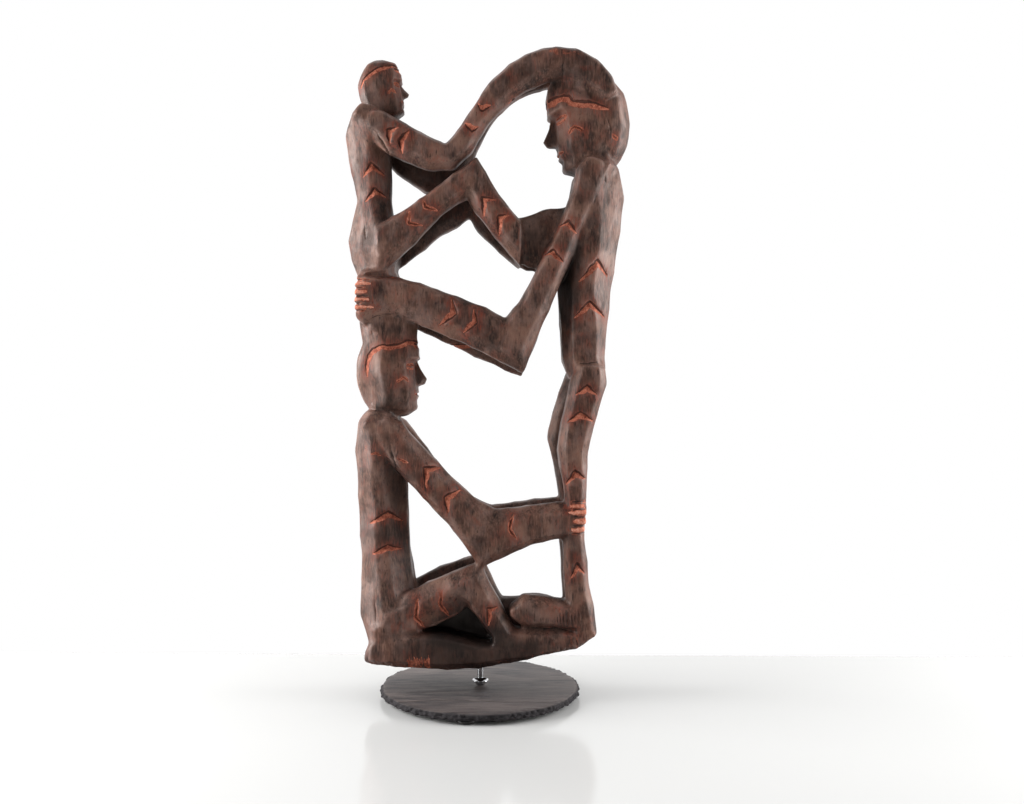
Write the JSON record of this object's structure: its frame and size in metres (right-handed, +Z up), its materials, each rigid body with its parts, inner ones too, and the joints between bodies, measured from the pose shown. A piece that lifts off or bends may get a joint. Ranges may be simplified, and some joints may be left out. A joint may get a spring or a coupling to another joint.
{
  "type": "ancestor figure group",
  "caption": "Openwork carved wooden group of a seated, a perched and a standing figure with linked limbs, held on a chromed rod over a round slate foot.",
  "frame": {"origin": "centre of the footprint of the whole object's box, on the surface that the pads stand on", "axes": "+Z up, +X the way the seated and the perched figure look, -Y the side seen in the picture"},
  "size_m": [0.3506, 0.2484, 0.799],
  "materials": {
    "carved_wood": "satin dark brown with red ochre rubbed into the cuts",
    "slate": "honed dark slate with a knapped rim",
    "chrome": "polished",
    "pad_rubber": "matt"
  },
  "bodies": {
    "root": {"figure_group": "carved_wood", "mounting_rod": "chrome", "rod_collar": "chrome", "slate_base": "slate", "foot_pad_1": "pad_rubber", "foot_pad_2": "pad_rubber", "foot_pad_3": "pad_rubber", "foot_pad_4": "pad_rubber"}
  },
  "joints": []
}
